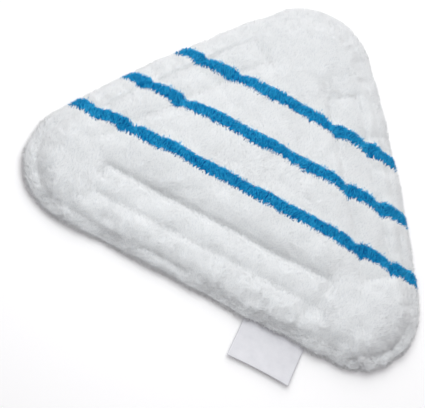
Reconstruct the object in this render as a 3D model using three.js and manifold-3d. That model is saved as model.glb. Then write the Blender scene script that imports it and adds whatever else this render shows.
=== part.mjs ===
// Triangular microfibre pad for a steam mop, lying on its loop tapes with the pile up.
// Millimetres, +Z up. X runs along the straight base edge and Y from that edge towards the tip.
//
// The pad is a turned-out bag: a plush face cloth wraps a foam core and is closed at the edge
// against a plain back cloth. A hem stitch runs round it, and three loop tapes are sewn to the
// back through every layer. A folded tab, caught in the edge seam, pulls the pad off the mop.
import * as THREE from "three";
import { mergeVertices } from "three/addons/utils/BufferGeometryUtils.js";
import Module from "manifold-3d";

const wasm = await Module();
wasm.setup();

// ---- Driving dimensions -------------------------------------------------------------------

const PAD_WIDTH = 290; // along the base edge, over the pile
const PAD_DEPTH = 228; // base edge to tip, over the pile
const TIP_RADIUS = 48;
const CORNER_RADIUS = 43; // the two corners on the base edge
const SIDE_BOW_RADIUS = 1000; // the two long sides bulge a little

const GAP = 0.3; // clearance between neighbouring layers
const TAPE_THICKNESS = 1.8;
const BACK_THICKNESS = 0.8;
const CORE_THICKNESS = 5;
const GROUND_THICKNESS = 0.8; // the knitted ground that holds the pile
const PILE_LENGTH = 4.3;
const THREAD_DIAMETER = 0.5;

const GROUND_EDGE = 4.2; // how far the face cloth's ground stays inside the pile's outline
const SEAM_SPACE = 1.6; // room between the turned edge and the core, for the edge seam
const HEM_INSET = 9; // the hem stitch, measured in from the outline
const HEM_SHOULDER = 5; // from the hem stitch to the full thickness
const STITCH_CHANNEL_WIDTH = 1.6; // flat floor of the channel that a stitch presses
const STITCH_CHANNEL_FLARE = 1.3; // from the floor's edge to the channel's edge at the top

const STRIPE_WIDTH = 10;
const STRIPE_PITCH = 35.2;
const FIRST_STRIPE_Y = 78.5; // from the base edge to the first stripe's middle
const STRIPE_NAMES = ["blue_stripe_lower", "blue_stripe_middle", "blue_stripe_upper"];
const WHITE_NAMES = ["white_pile_base", "white_pile_lower", "white_pile_upper", "white_pile_tip"];

const TAPE_WIDTH = 25;
const TAPE_STITCH_MARGIN = 1.5; // from a tape's edge to its stitch line
const BASE_TAPE_LENGTH = 172;
const BASE_TAPE_X = -7.5; // sewn a little to one side of the pad's middle
const BASE_TAPE_Y = 37;
const SIDE_TAPE_LENGTH = 135;
const LEFT_TAPE_CLEARANCE = 1; // from the hem stitch to the tape's outer edge
const RIGHT_TAPE_CLEARANCE = 7;
const SIDE_TAPE_SLIDE = 4; // from the long side's middle towards the base corner

const TAB_WIDTH = 45;
const TAB_REACH = 27; // how far the tab stands out past the base edge
const TAB_X = 58;
const TAB_LEAF = 0.3; // one leaf of the folded tape
const TAB_LEAF_GAP = 0.3;
const TAB_ROOT_DEPTH = 7.5; // how far the sewn root reaches under the pad
const TAB_HINGE_OUTSIDE = 1; // the tab folds just outside the pile
const TAB_FOLD_ROOM = 1.8; // from the fold line back to the root, so that the tab can fold under
const TAB_SIDE_CLEARANCE = 0.5;

// ---- Heights and insets worked out from them ----------------------------------------------

const BACK_BOTTOM = TAPE_THICKNESS + GAP;
const BACK_TOP = BACK_BOTTOM + BACK_THICKNESS;
const CORE_BOTTOM = BACK_TOP + GAP;
const CORE_EDGE = GROUND_EDGE + GROUND_THICKNESS + SEAM_SPACE;
const PLATEAU_INSET = HEM_INSET + HEM_SHOULDER;
const PILE_EDGE = GROUND_EDGE - GAP; // the pile's roots at the edge
const PILE_LIP_BOTTOM = BACK_BOTTOM - GAP; // the pile's roots under the turned edge
const THREAD_RADIUS = THREAD_DIAMETER / 2;
const TAB_THICKNESS = 2 * TAB_LEAF + TAB_LEAF_GAP;
// The tab comes out of the edge seam, right under the cloths that it is sewn between.
const TAB_BOTTOM = PILE_LIP_BOTTOM - TAB_THICKNESS;
// A tape's stitch turns its corners wide enough for the channel's inner edge to turn as well.
const TAPE_STITCH_CORNER = STITCH_CHANNEL_WIDTH / 2 + STITCH_CHANNEL_FLARE + 0.5;

// Share of the full core that is left at each inset: the hem stitch presses it nearly flat.
const LOFT = [
  [PLATEAU_INSET, 1],
  [HEM_INSET + 0.5 * HEM_SHOULDER, 0.72],
  [HEM_INSET + STITCH_CHANNEL_WIDTH / 2, 0.15],
  [HEM_INSET - STITCH_CHANNEL_WIDTH / 2, 0.15],
  [CORE_EDGE, 0.32],
];
// Share of the full pile length that stands up over each of those insets.
const PILE_SHARE = [1, 0.97, 0.35, 0.35, 0.8];

const coreTop = (loft) => CORE_BOTTOM + CORE_THICKNESS * loft;
const groundTop = (loft) => coreTop(loft) + GAP + GROUND_THICKNESS;
const pileTop = (loft, share) => groundTop(loft) + GAP + PILE_LENGTH * share;
const FULL_GROUND_TOP = groundTop(1);

// ---- The outline: a triangle with round corners and bowed sides ---------------------------

const QUARTER_STEPS = 7; // the part of a base corner up to the pad's widest point
const SHOULDER_STEPS = 3; // from there to the bowed side
const TIP_STEPS = 10;
const SIDE_STEPS = 7;
const BASE_STEPS = 6;

// A station is a point on the outline with its outward normal, so an inset stays parallel.
const station = (x, y, normal) => ({ point: new THREE.Vector2(x, y), normal });

function arcStations(centre, radius, from, to, steps) {
  return Array.from({ length: steps }, (_, i) => {
    const angle = THREE.MathUtils.lerp(from, to, i / steps);
    const normal = new THREE.Vector2(Math.cos(angle), Math.sin(angle));
    return station(centre.x + radius * normal.x, centre.y + radius * normal.y, normal);
  });
}

const rightCorner = new THREE.Vector2(PAD_WIDTH / 2 - CORNER_RADIUS, CORNER_RADIUS);
const leftCorner = new THREE.Vector2(-rightCorner.x, rightCorner.y);
const tipCentre = new THREE.Vector2(0, PAD_DEPTH - TIP_RADIUS);

// The bowed side is an arc that touches both corner circles from outside, so its centre is
// where two circles about the corners' centres meet.
function bowCentre() {
  const toCorner = SIDE_BOW_RADIUS - CORNER_RADIUS;
  const toTip = SIDE_BOW_RADIUS - TIP_RADIUS;
  const along = tipCentre.clone().sub(rightCorner);
  const span = along.length();
  along.normalize();
  const reach = (toCorner ** 2 - toTip ** 2 + span ** 2) / (2 * span);
  const away = Math.sqrt(toCorner ** 2 - reach ** 2);
  const inwards = new THREE.Vector2(-along.y, along.x);
  return rightCorner.clone().addScaledVector(along, reach).addScaledVector(inwards, away);
}

const rightBow = bowCentre();
const cornerTurn = rightCorner.clone().sub(rightBow).angle();
const tipTurn = tipCentre.clone().sub(rightBow).angle();
const leftBow = new THREE.Vector2(-rightBow.x, rightBow.y);

function outlineStations() {
  const down = new THREE.Vector2(0, -1);
  const base = Array.from({ length: BASE_STEPS }, (_, i) => {
    const x = THREE.MathUtils.lerp(leftCorner.x, rightCorner.x, i / BASE_STEPS);
    return station(x, 0, down);
  });
  const [right, left] = [rightCorner, leftCorner];
  const half = Math.PI;
  return [
    ...base,
    ...arcStations(right, CORNER_RADIUS, -half / 2, 0, QUARTER_STEPS),
    ...arcStations(right, CORNER_RADIUS, 0, cornerTurn, SHOULDER_STEPS),
    ...arcStations(rightBow, SIDE_BOW_RADIUS, cornerTurn, tipTurn, SIDE_STEPS),
    ...arcStations(tipCentre, TIP_RADIUS, tipTurn, half - tipTurn, TIP_STEPS),
    ...arcStations(leftBow, SIDE_BOW_RADIUS, half - tipTurn, half - cornerTurn, SIDE_STEPS),
    ...arcStations(left, CORNER_RADIUS, half - cornerTurn, half, SHOULDER_STEPS),
    ...arcStations(left, CORNER_RADIUS, half, 1.5 * half, QUARTER_STEPS),
  ];
}

// ---- Sweeping a profile round a closed line -----------------------------------------------

// The profile is a list of [inset, z], passed so that its outer side lies to the right as it
// runs. An open profile starts over the middle and ends under it, and both ends are capped.
function sweep(stations, profile, { closed = false } = {}) {
  const positions = stations.flatMap(({ point, normal }) =>
    profile.flatMap(([inset, z]) => [point.x - inset * normal.x, point.y - inset * normal.y, z]),
  );
  const rows = profile.length;
  const at = (column, row) => (column % stations.length) * rows + (row % rows);
  const faces = [];
  for (let column = 0; column < stations.length; column += 1) {
    for (let row = 0; row < (closed ? rows : rows - 1); row += 1) {
      const [a, b] = [at(column, row), at(column, row + 1)];
      const [c, d] = [at(column + 1, row), at(column + 1, row + 1)];
      faces.push(a, b, d, a, d, c);
    }
  }
  if (!closed) {
    const rim = stations.map(({ point, normal }) =>
      point.clone().addScaledVector(normal, -profile[0][0]),
    );
    THREE.ShapeUtils.triangulateShape(rim, []).forEach(([a, b, c]) => {
      faces.push(at(a, 0), at(b, 0), at(c, 0));
      faces.push(at(c, rows - 1), at(b, rows - 1), at(a, rows - 1));
    });
  }
  const geometry = new THREE.BufferGeometry();
  geometry.setAttribute("position", new THREE.Float32BufferAttribute(positions, 3));
  return geometry.setIndex(faces);
}

// A thread's round section as a closed profile about [inset, z].
function threadProfile(inset, z) {
  const sides = 6;
  return Array.from({ length: sides }, (_, i) => {
    const angle = (i / sides) * 2 * Math.PI;
    return [inset - THREAD_RADIUS * Math.cos(angle), z - THREAD_RADIUS * Math.sin(angle)];
  });
}

// ---- Cutting and joining ------------------------------------------------------------------

function toSolid(geometry) {
  const bare = geometry.clone();
  bare.deleteAttribute("normal");
  bare.deleteAttribute("uv");
  const merged = mergeVertices(bare, 1e-4);
  return new wasm.Manifold(
    new wasm.Mesh({
      numProp: 3,
      vertProperties: merged.attributes.position.array,
      triVerts: new Uint32Array(merged.index.array),
    }),
  );
}

function toGeometry(solid) {
  const mesh = solid.getMesh();
  const geometry = new THREE.BufferGeometry();
  geometry.setAttribute("position", new THREE.Float32BufferAttribute(mesh.vertProperties, 3));
  geometry.setIndex(new THREE.BufferAttribute(mesh.triVerts, 1));
  geometry.computeVertexNormals();
  return geometry;
}

// A box from its lowest to its highest corner.
function boxBetween([x0, y0, z0], [x1, y1, z1]) {
  const box = new THREE.BoxGeometry(x1 - x0, y1 - y0, z1 - z0);
  return box.translate((x0 + x1) / 2, (y0 + y1) / 2, (z0 + z1) / 2);
}

// ---- Materials ----------------------------------------------------------------------------

const cloth = (color, roughness = 0.95) =>
  new THREE.MeshStandardMaterial({ color, roughness, metalness: 0 });

const whitePlush = cloth(0xe4e8ec);
const bluePlush = cloth(0x0877be);
const whiteKnit = cloth(0xdfe2e6);
const foam = cloth(0xf2efe2);
const plainCloth = cloth(0xe6e6e4, 0.9);
const loopCloth = cloth(0xf0f0f0, 0.85);
const polyesterThread = cloth(0xf4f4f4, 0.6);
const satinTape = cloth(0xececef, 0.45);

const pad = new THREE.Group();

function add(name, geometry, material, parent = pad) {
  const mesh = new THREE.Mesh(geometry, material);
  mesh.name = name;
  parent.add(mesh);
  return mesh;
}

const outline = outlineStations();

// ---- The layers, from the back up ---------------------------------------------------------

// The back cloth is flat, and its edge butts against the face cloth's turned edge.
function backCloth() {
  const edge = GROUND_EDGE + GROUND_THICKNESS + GAP;
  return sweep(outline, [
    [PLATEAU_INSET, BACK_TOP],
    [edge, BACK_TOP],
    [edge, BACK_BOTTOM],
    [PLATEAU_INSET, BACK_BOTTOM],
  ]);
}

// The foam core is full in the middle, pressed under the hem stitch, and ends short of the edge.
function foamCore() {
  const top = LOFT.map(([inset, loft]) => [inset, coreTop(loft)]);
  return sweep(outline, [...top, [CORE_EDGE, CORE_BOTTOM], [PLATEAU_INSET, CORE_BOTTOM]]);
}

// The face cloth's knitted ground lies over the core and turns down round its edge.
function faceGround() {
  const bend = GROUND_THICKNESS;
  const outside = LOFT.map(([inset, loft]) => [inset, groundTop(loft)]);
  const inside = LOFT.map(([inset, loft]) => [inset, coreTop(loft) + GAP]).reverse();
  const edgeTop = groundTop(LOFT.at(-1)[1]);
  const turned = [
    [GROUND_EDGE + bend, edgeTop - 0.25 * bend],
    [GROUND_EDGE, edgeTop - 1.25 * bend],
    [GROUND_EDGE, BACK_BOTTOM],
    [GROUND_EDGE + bend, BACK_BOTTOM],
    [GROUND_EDGE + bend, edgeTop - 1.6 * bend],
  ];
  return sweep(outline, [...outside, ...turned, ...inside]);
}

// All the pile as one solid, before it is divided: it follows the ground, rolls round the edge
// and ends in a lip under it.
function pileBlank() {
  const outside = LOFT.map(([inset, loft], i) => [inset, pileTop(loft, PILE_SHARE[i])]);
  const inside = LOFT.map(([inset, loft]) => [inset, groundTop(loft) + GAP]).reverse();
  const edgeTop = groundTop(LOFT.at(-1)[1]) + GAP;
  const rollTop = pileTop(LOFT.at(-1)[1], PILE_SHARE.at(-1));
  const lipEnd = GROUND_EDGE + GROUND_THICKNESS + GAP;
  // The roll is a half ellipse from the top of the hem roll to the surface that the pad lies on.
  const rollReach = CORE_EDGE - 2;
  const rollSteps = 10;
  const roll = Array.from({ length: rollSteps + 1 }, (_, i) => {
    const turn = (i / rollSteps) * Math.PI;
    return [rollReach * (1 - Math.sin(turn)), (rollTop / 2) * (1 + Math.cos(turn))];
  });
  const roots = [
    [lipEnd, 0],
    [lipEnd, PILE_LIP_BOTTOM],
    [PILE_EDGE, PILE_LIP_BOTTOM],
    [PILE_EDGE, edgeTop - 1.25 * GROUND_THICKNESS],
    [GROUND_EDGE + GROUND_THICKNESS, edgeTop - 0.1 * GROUND_THICKNESS],
  ];
  return toSolid(sweep(outline, [...outside, ...roll, ...roots, ...inside]));
}

// ---- Loop tapes and their stitches --------------------------------------------------------

// A side tape lies along the middle of its long side. The bowed side comes nearest to the tape's
// outer edge at the tape's two ends, so the clearance is kept there.
function sideTape(name, clearance, side) {
  const middle = (cornerTurn + tipTurn) / 2;
  const normal = new THREE.Vector2(Math.cos(middle), Math.sin(middle));
  const towardsCorner = new THREE.Vector2(normal.y, -normal.x);
  const stitchRadius = SIDE_BOW_RADIUS - HEM_INSET - THREAD_RADIUS;
  const farEnd = SIDE_TAPE_LENGTH / 2 + SIDE_TAPE_SLIDE;
  const outerEdge = Math.sqrt(stitchRadius ** 2 - farEnd ** 2) - clearance;
  const place = rightBow
    .clone()
    .addScaledVector(normal, outerEdge - TAPE_WIDTH / 2)
    .addScaledVector(towardsCorner, SIDE_TAPE_SLIDE);
  const turn = new THREE.Vector2(side * towardsCorner.x, towardsCorner.y).angle();
  return { name, x: side * place.x, y: place.y, turn, length: SIDE_TAPE_LENGTH };
}

// Each tape has its middle and its turn in the pad's plane.
const tapes = [
  { name: "base", x: BASE_TAPE_X, y: BASE_TAPE_Y, turn: 0, length: BASE_TAPE_LENGTH },
  sideTape("right", RIGHT_TAPE_CLEARANCE, 1),
  sideTape("left", LEFT_TAPE_CLEARANCE, -1),
];

// The stitch line of a tape: a rectangle with small round corners, about its own middle.
function tapeStitchStations(length) {
  const x = length / 2 - TAPE_STITCH_MARGIN - TAPE_STITCH_CORNER;
  const y = TAPE_WIDTH / 2 - TAPE_STITCH_MARGIN - TAPE_STITCH_CORNER;
  const centres = [
    [x, -y],
    [x, y],
    [-x, y],
    [-x, -y],
  ];
  const steps = 3;
  return centres.flatMap(([cx, cy], i) => {
    const from = (i - 1) * (Math.PI / 2);
    const centre = new THREE.Vector2(cx, cy);
    const corner = arcStations(centre, TAPE_STITCH_CORNER, from, from + Math.PI / 2, steps);
    const normal = new THREE.Vector2(-Math.sin(from), Math.cos(from));
    const end = station(
      cx + TAPE_STITCH_CORNER * normal.x,
      cy + TAPE_STITCH_CORNER * normal.y,
      normal,
    );
    return [...corner, end];
  });
}

// A channel for a tape's needle thread: it opens upwards from a narrow floor.
function stitchChannel(length, floor, top) {
  const narrow = STITCH_CHANNEL_WIDTH / 2;
  const wide = narrow + STITCH_CHANNEL_FLARE;
  const profile = [
    [wide, top],
    [-wide, top],
    [-narrow, floor],
    [narrow, floor],
  ];
  return toSolid(sweep(tapeStitchStations(length), profile, { closed: true }));
}

// A groove under a tape, so that the bobbin thread doesn't stand out of it.
function tapeGroove(length) {
  const half = THREAD_RADIUS + GAP;
  const profile = [
    [half, THREAD_DIAMETER + GAP],
    [-half, THREAD_DIAMETER + GAP],
    [-half, -GAP],
    [half, -GAP],
  ];
  return toSolid(sweep(tapeStitchStations(length), profile, { closed: true }));
}

const PILE_FLOOR_UNDER_STITCH = 1;
const tapeStitchFloor = FULL_GROUND_TOP + GAP + PILE_FLOOR_UNDER_STITCH;

function placed(solid, { x, y, turn }) {
  return solid.rotate([0, 0, THREE.MathUtils.radToDeg(turn)]).translate([x, y, 0]);
}

for (const tape of tapes) {
  const holder = new THREE.Group();
  holder.position.set(tape.x, tape.y, 0);
  holder.rotation.z = tape.turn;
  pad.add(holder);
  const blank = boxBetween(
    [-tape.length / 2, -TAPE_WIDTH / 2, 0],
    [tape.length / 2, TAPE_WIDTH / 2, TAPE_THICKNESS],
  );
  const grooved = toSolid(blank).subtract(tapeGroove(tape.length));
  add(`loop_tape_${tape.name}`, toGeometry(grooved), loopCloth, holder);
  const line = tapeStitchStations(tape.length);
  const needle = threadProfile(0, tapeStitchFloor + GAP + THREAD_RADIUS);
  const bobbin = threadProfile(0, THREAD_RADIUS);
  const closed = { closed: true };
  add(`tape_needle_thread_${tape.name}`, sweep(line, needle, closed), polyesterThread, holder);
  add(`tape_bobbin_thread_${tape.name}`, sweep(line, bobbin, closed), polyesterThread, holder);
}

// ---- Layers and the stitches round the edge -----------------------------------------------

add("back_cloth", backCloth(), plainCloth);
add("foam_core", foamCore(), foam);
add("face_ground", faceGround(), whiteKnit);

const hemFloor = pileTop(LOFT[2][1], PILE_SHARE[2]);
const ring = (inset, z) => sweep(outline, threadProfile(inset, z), { closed: true });
add("hem_needle_thread", ring(HEM_INSET, hemFloor + GAP + THREAD_RADIUS), polyesterThread);
add("hem_bobbin_thread", ring(HEM_INSET, BACK_BOTTOM - GAP - THREAD_RADIUS), polyesterThread);
const seamInset = GROUND_EDGE + GROUND_THICKNESS + SEAM_SPACE / 2;
add("edge_seam_thread", ring(seamInset, CORE_BOTTOM + 2 * THREAD_RADIUS), polyesterThread);

// ---- The pull tab -------------------------------------------------------------------------

const tabHingeY = -TAB_HINGE_OUTSIDE;
const tabLeft = TAB_X - TAB_WIDTH / 2;
const tabRight = TAB_X + TAB_WIDTH / 2;

// The sewn root: both leaves pressed into one thickness.
function tabRoot() {
  const outer = tabHingeY + TAB_FOLD_ROOM;
  return boxBetween([tabLeft, outer, TAB_BOTTOM], [tabRight, TAB_ROOT_DEPTH, PILE_LIP_BOTTOM]);
}

// The free part is one length of tape folded in half: two leaves that meet in a round fold.
function pullTab() {
  const half = TAB_THICKNESS / 2;
  const foldY = -TAB_REACH + half;
  const section = new THREE.Shape();
  section.moveTo(tabHingeY, -half);
  section.lineTo(tabHingeY, -half + TAB_LEAF);
  section.lineTo(foldY, -half + TAB_LEAF);
  section.absarc(foldY, 0, half - TAB_LEAF, -Math.PI / 2, Math.PI / 2, true);
  section.lineTo(tabHingeY, half - TAB_LEAF);
  section.lineTo(tabHingeY, half);
  section.lineTo(foldY, half);
  section.absarc(foldY, 0, half, Math.PI / 2, 1.5 * Math.PI, false);
  section.closePath();
  const flap = new THREE.ExtrudeGeometry(section, {
    depth: TAB_WIDTH,
    bevelEnabled: false,
    curveSegments: 3,
  });
  // The section's x and y become Y and Z, and the extrusion runs along X.
  flap.applyMatrix4(
    new THREE.Matrix4().makeBasis(
      new THREE.Vector3(0, 1, 0),
      new THREE.Vector3(0, 0, 1),
      new THREE.Vector3(1, 0, 0),
    ),
  );
  return flap.translate(tabLeft, 0, TAB_BOTTOM + half);
}

add("tab_root", tabRoot(), satinTape);
add("pull_tab", pullTab(), satinTape);

// ---- The pile, divided into its white bands and blue stripes ------------------------------

const pileCuts = [
  toSolid(
    boxBetween(
      [tabLeft - TAB_SIDE_CLEARANCE, -1, -1],
      [tabRight + TAB_SIDE_CLEARANCE, GROUND_EDGE + GROUND_THICKNESS + 1, PILE_LIP_BOTTOM + 0.1],
    ),
  ),
  ...tapes.map((tape) =>
    placed(stitchChannel(tape.length, tapeStitchFloor, pileTop(1, 1) + 1), tape),
  ),
];

function bandOf(pile, from, to) {
  const far = PAD_WIDTH;
  const band = pile.intersect(toSolid(boxBetween([-far, from, -far], [far, to, far])));
  return toGeometry(pileCuts.reduce((left, cut) => left.subtract(cut), band));
}

const wholePile = pileBlank();
let edgeY = -1;
WHITE_NAMES.forEach((name, i) => {
  const stripeY = FIRST_STRIPE_Y + i * STRIPE_PITCH;
  const stripe = STRIPE_NAMES[i];
  const whiteEnd = stripe ? stripeY - STRIPE_WIDTH / 2 - GAP / 2 : PAD_DEPTH + 1;
  add(name, bandOf(wholePile, edgeY, whiteEnd), whitePlush);
  if (!stripe) return;
  edgeY = stripeY + STRIPE_WIDTH / 2 + GAP / 2;
  add(stripe, bandOf(wholePile, whiteEnd + GAP, edgeY - GAP), bluePlush);
});

// ---- The frame: the origin is under the middle of the pad and tab together ----------------

pad.position.y = (TAB_REACH - PAD_DEPTH) / 2;
const root = new THREE.Group();
root.add(pad);

export default root;
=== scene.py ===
# %% [markdown]
# # A plush steam-mop pad, lying on its back
# The real pad is a turned-out bag of textiles: a plush face cloth over a foam core, closed with
# a plain back cloth, quilted by a hem stitch and by the stitches of three loop tapes. This
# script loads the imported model, which fixes every size and place, and dresses it: the plush is
# made of separate fibre tips, the cloth between the stitches is puffed up by a cloth
# simulation, and every seam gets its stitches.

import bpy
import numpy as np
from mathutils import Matrix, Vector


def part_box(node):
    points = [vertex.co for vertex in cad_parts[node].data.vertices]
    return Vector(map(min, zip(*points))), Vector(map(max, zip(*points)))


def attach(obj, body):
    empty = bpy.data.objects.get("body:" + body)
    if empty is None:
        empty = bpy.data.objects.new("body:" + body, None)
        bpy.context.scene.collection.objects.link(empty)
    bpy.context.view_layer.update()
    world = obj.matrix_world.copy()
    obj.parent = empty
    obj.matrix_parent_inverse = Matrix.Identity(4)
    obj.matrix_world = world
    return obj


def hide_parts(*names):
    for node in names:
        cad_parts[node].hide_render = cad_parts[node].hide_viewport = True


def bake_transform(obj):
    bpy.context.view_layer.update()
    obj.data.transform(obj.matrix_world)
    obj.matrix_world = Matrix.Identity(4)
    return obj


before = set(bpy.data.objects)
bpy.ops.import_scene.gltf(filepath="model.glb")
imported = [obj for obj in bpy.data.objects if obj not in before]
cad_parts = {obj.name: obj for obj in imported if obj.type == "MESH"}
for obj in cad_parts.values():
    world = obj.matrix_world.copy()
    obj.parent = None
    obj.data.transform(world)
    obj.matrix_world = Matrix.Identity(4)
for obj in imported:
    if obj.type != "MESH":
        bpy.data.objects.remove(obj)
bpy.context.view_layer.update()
MM = 0.001  # the shapes below are worked out in millimetres
rng = np.random.default_rng(7)

# %% [markdown]
# ## The camera
# The pad is seen from high above its straight edge with a long lens, and the camera is rolled
# so that this edge falls towards the lower right. A camera's own axes are worked out from its
# azimuth and elevation first, and the roll then turns them about the line of sight.

# %% Camera
AZIMUTH, ELEVATION, ROLL = np.radians([-7.63, 70.0, 35.02])
CAMERA_DISTANCE = 737.2
AIM_FROM_BASE = np.array([-17.1, 59.2, 6.0])  # from the middle of the straight edge


def node_box(name):
    """Lowest and highest corner of a CAD node, in millimetres."""
    return np.array([list(corner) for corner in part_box(name)]) / MM


base_y = node_box("white_pile_base")[0, 1]
tip_y = node_box("white_pile_tip")[1, 1]
pad_width = np.ptp(node_box("white_pile_base")[:, 0])


def put(thing, axes, place):
    """Turns an object to its own x, y and z directions and moves it to a place in millimetres."""
    matrix = np.eye(4)
    matrix[:3, :3] = np.column_stack(axes)
    matrix[:3, 3] = np.asarray(place) * MM
    thing.matrix_world = Matrix(matrix)
    bpy.context.scene.collection.objects.link(thing)


right = np.array([np.cos(AZIMUTH), np.sin(AZIMUTH), 0.0])
level = np.array([np.sin(AZIMUTH), -np.cos(AZIMUTH), 0.0])
back = np.cos(ELEVATION) * level + [0.0, 0.0, np.sin(ELEVATION)]
up = np.cross(back, right)
turned_right = np.cos(ROLL) * right + np.sin(ROLL) * up
turned_up = np.cos(ROLL) * up - np.sin(ROLL) * right
aim = AIM_FROM_BASE + [0.0, base_y, 0.0]

lens = bpy.data.cameras.new("camera")
lens.lens = 93.2
lens.sensor_width = 36.0
lens.clip_end = 20.0
camera = bpy.data.objects.new("camera", lens)
put(camera, [turned_right, turned_up, back], aim + CAMERA_DISTANCE * back)
bpy.context.scene.camera = camera
bpy.context.scene.view_settings.view_transform = "Standard"

# %% [markdown]
# ## Small helpers
# Every piece is a plain array of points and faces that goes into a mesh in one call. Materials
# are node trees, and one function adds a node with its settings and its links.


# %% Helpers for meshes and materials
def make_piece(name, points, faces, material, body="pad", attributes=None):
    """A smooth mesh object from points in millimetres, riding on one body. faces is an array
    with one row for each face, or a list of such arrays; attributes are values at its points."""
    groups = faces if isinstance(faces, list) else [faces]
    sides = np.concatenate([np.full(len(group), group.shape[1]) for group in groups])
    corners = np.concatenate([group.ravel() for group in groups])
    mesh = bpy.data.meshes.new(name)
    mesh.vertices.add(len(points))
    mesh.vertices.foreach_set("co", (np.asarray(points) * MM).astype(np.float32).ravel())
    mesh.loops.add(len(corners))
    mesh.loops.foreach_set("vertex_index", corners.astype(np.int32))
    mesh.polygons.add(len(sides))
    mesh.polygons.foreach_set("loop_start", (np.cumsum(sides) - sides).astype(np.int32))
    mesh.polygons.foreach_set("use_smooth", np.ones(len(sides), bool))
    mesh.materials.append(material)
    mesh.update(calc_edges=True)
    for key, values in (attributes or {}).items():
        kind, field = ("FLOAT", "value") if values.ndim == 1 else ("FLOAT_VECTOR", "vector")
        column = mesh.attributes.new(key, kind, "POINT").data
        column.foreach_set(field, values.astype(np.float32).ravel())
    piece = bpy.data.objects.new(name, mesh)
    bpy.context.scene.collection.objects.link(piece)
    if body:
        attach(piece, body)
    return piece


def linear(hex_colour):
    """A colour given as sRGB hex, in the linear values that Blender works in."""
    value = np.array([int(hex_colour[i : i + 2], 16) for i in (1, 3, 5)]) / 255
    curve = np.where(value <= 0.04045, value / 12.92, ((value + 0.055) / 1.055) ** 2.4)
    return (*curve.tolist(), 1.0)


def add_node(material, kind, links=None, settings=None, **properties):
    """Adds one node. settings gives input values, links gives input: (node, output name)."""
    node = material.node_tree.nodes.new(kind)
    for key, value in properties.items():
        setattr(node, key, value)
    for key, value in (settings or {}).items():
        node.inputs[key].default_value = value
    for key, (source, output) in (links or {}).items():
        material.node_tree.links.new(source.outputs[output], node.inputs[key])
    return node


def new_material(name):
    """An empty node material."""
    material = bpy.data.materials.new(name)
    material.use_nodes = True
    material.node_tree.nodes.clear()
    return material


def along_line(points):
    """Distance of each point of a line from its first one, along the line."""
    return np.r_[0, np.cumsum(np.linalg.norm(np.diff(points, axis=0), axis=1))]


def read_line(at, length, points):
    """Places on a line at some distances along it, straight between its points."""
    return np.stack([np.interp(at, length, column) for column in points.T], axis=-1)


def grid_faces(rows, columns):
    """The four-sided faces of a grid whose points are numbered along each row in turn."""
    corner = (columns * np.arange(rows - 1)[:, None] + np.arange(columns - 1)).ravel()
    return np.column_stack([corner, corner + columns, corner + columns + 1, corner + 1])


def smoothstep(low, high, value):
    """0 below low, 1 above high, and 3t^2 - 2t^3 between them."""
    t = np.clip((value - low) / (high - low), 0, 1)
    return t * t * (3 - 2 * t)


def waves(x, y, wavelength, seed, count=14):
    """Smooth noise of about unit height: a sum of sine waves with random directions and phases."""
    draw = np.random.default_rng(seed)
    turn = draw.uniform(0, 2 * np.pi, count)
    number = 2 * np.pi / (wavelength * draw.uniform(0.7, 1.6, count))
    phase = draw.uniform(0, 2 * np.pi, count)
    total = np.zeros(np.shape(x))
    for angle, size, start in zip(turn, number, phase):
        total = total + np.sin(size * (x * np.cos(angle) + y * np.sin(angle)) + start)
    return total / np.sqrt(count / 2)


# %% [markdown]
# ## The outline
# The pad's outline is a triangle with round corners and slightly bowed sides. Six arcs that
# touch each other make it. It is sampled densely once, by length, so that a point and its
# outward direction can be read at any share of the way round.

# %% Outline
TIP_RADIUS = 48.0
CORNER_RADIUS = 43.0
BOW_RADIUS = 1000.0
SIDE_POINTS = 900  # on each arc and on the straight side


def arc(centre, radius, start, end):
    """Points on an arc and their outward directions."""
    angle = np.linspace(start, end, SIDE_POINTS, endpoint=False)
    outward = np.column_stack([np.cos(angle), np.sin(angle)])
    return np.asarray(centre) + radius * outward, outward


def outline_table():
    """Points and outward directions round the pad, and how far along the outline each lies."""
    corner = np.array([pad_width / 2 - CORNER_RADIUS, base_y + CORNER_RADIUS])
    tip = np.array([0.0, tip_y - TIP_RADIUS])
    along = (tip - corner) / np.linalg.norm(tip - corner)
    span = np.linalg.norm(tip - corner)
    to_corner, to_tip = BOW_RADIUS - CORNER_RADIUS, BOW_RADIUS - TIP_RADIUS
    reach = (to_corner**2 - to_tip**2 + span**2) / (2 * span)
    inwards = np.array([-along[1], along[0]])
    bow = corner + reach * along + np.sqrt(to_corner**2 - reach**2) * inwards
    low = np.arctan2(*(corner - bow)[::-1])
    high = np.arctan2(*(tip - bow)[::-1])
    mirror = np.array([-1.0, 1.0])
    base_x = np.linspace(-corner[0], corner[0], SIDE_POINTS, endpoint=False)
    base = np.column_stack([base_x, np.full(SIDE_POINTS, base_y)])
    pieces = [
        (base, np.tile([0.0, -1.0], (SIDE_POINTS, 1))),
        arc(corner, CORNER_RADIUS, -np.pi / 2, low),
        arc(bow, BOW_RADIUS, low, high),
        arc(tip, TIP_RADIUS, high, np.pi - high),
        arc(bow * mirror, BOW_RADIUS, np.pi - high, np.pi - low),
        arc(corner * mirror, CORNER_RADIUS, np.pi - low, 1.5 * np.pi),
    ]
    points = np.vstack([piece[0] for piece in pieces])
    outward = np.vstack([piece[1] for piece in pieces])
    points, outward = np.vstack([points, points[:1]]), np.vstack([outward, outward[:1]])
    return points, outward, along_line(points)


OUTLINE, OUTWARD, ALONG = outline_table()
PERIMETER = ALONG[-1]


def on_outline(share):
    """Point and outward direction at a share of the way round, from the base's left end."""
    at = np.mod(share, 1.0) * PERIMETER
    point, normal = read_line(at, ALONG, OUTLINE), read_line(at, ALONG, OUTWARD)
    return point, normal / np.linalg.norm(normal, axis=-1, keepdims=True)


print("outline is", round(PERIMETER), "mm round")

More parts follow.
